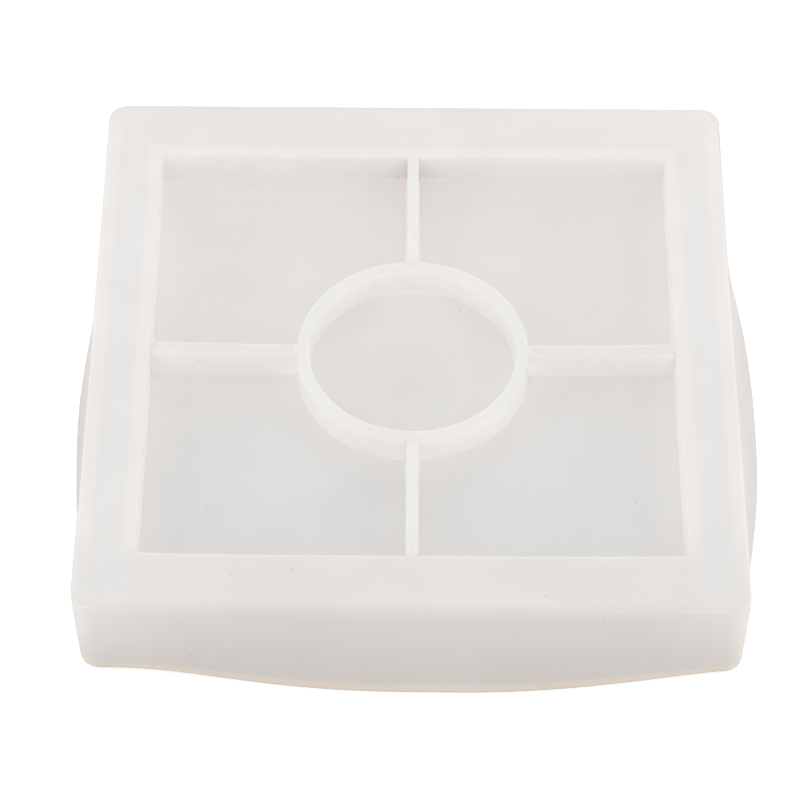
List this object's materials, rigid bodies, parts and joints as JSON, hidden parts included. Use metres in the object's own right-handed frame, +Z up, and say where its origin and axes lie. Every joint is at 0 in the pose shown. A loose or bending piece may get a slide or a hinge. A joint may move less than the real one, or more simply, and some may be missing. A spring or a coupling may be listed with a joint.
{
  "type": "resin casting mould",
  "caption": "Square translucent silicone tray mould with a hollow rim channel, a thin recessed core stiffened by a cross and ring rib, and a bowed skirt.",
  "frame": {"origin": "middle of the mouth rim's plane, which the mould lies on", "axes": "+Z up, out of the deck on the mould's underside; +X to the right and +Y to the back as it lies"},
  "size_m": [0.1715, 0.174, 0.026],
  "materials": {
    "silicone": "translucent milky, satin"
  },
  "bodies": {
    "root": {"deck_front": "silicone", "deck_back": "silicone", "deck_left": "silicone", "deck_right": "silicone", "skirt_front": "silicone", "skirt_back": "silicone", "skirt_left": "silicone", "skirt_right": "silicone", "skirt_corner_front_left": "silicone", "skirt_corner_front_right": "silicone", "skirt_corner_back_left": "silicone", "skirt_corner_back_right": "silicone", "core_wall_front": "silicone", "core_wall_back": "silicone", "core_wall_left": "silicone", "core_wall_right": "silicone", "membrane_front_left": "silicone", "membrane_front_right": "silicone", "membrane_back_left": "silicone", "membrane_back_right": "silicone", "membrane_centre": "silicone", "rib_front": "silicone", "rib_back": "silicone", "rib_left": "silicone", "rib_right": "silicone", "ring_rib": "silicone"}
  },
  "joints": []
}
